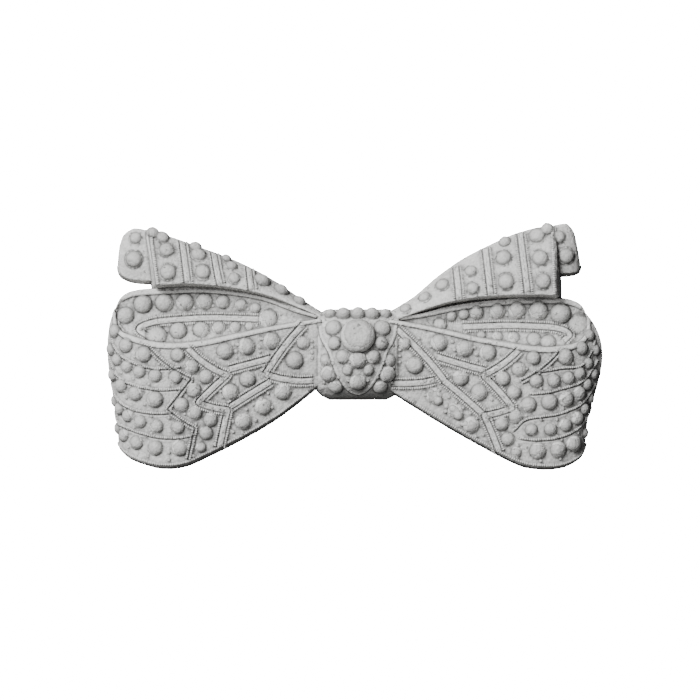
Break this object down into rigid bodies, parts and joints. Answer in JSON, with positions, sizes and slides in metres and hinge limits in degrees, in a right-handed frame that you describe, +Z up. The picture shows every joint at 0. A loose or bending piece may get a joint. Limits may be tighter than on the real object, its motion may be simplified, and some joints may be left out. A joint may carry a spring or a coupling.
{
  "type": "jewelled ribbon-bow onlay",
  "caption": "Cast ribbon-bow onlay with a flat back: two folded loops, two rolled tails and a knot band, set all over with domed beads, cords and a round cabochon.",
  "frame": {"origin": "on the flat back face, behind the knot, at the level of the middle of the bow's height", "axes": "+X to the right as seen from the front, +Y out of the flat back into whatever carries the onlay, +Z up; the front faces -Y"},
  "size_m": [0.1659, 0.0219, 0.0819],
  "materials": {
    "cast_body": "matte, pale grey cast resin with a fine mottled grain"
  },
  "bodies": {
    "root": {"bow_onlay": "cast_body"}
  },
  "joints": []
}
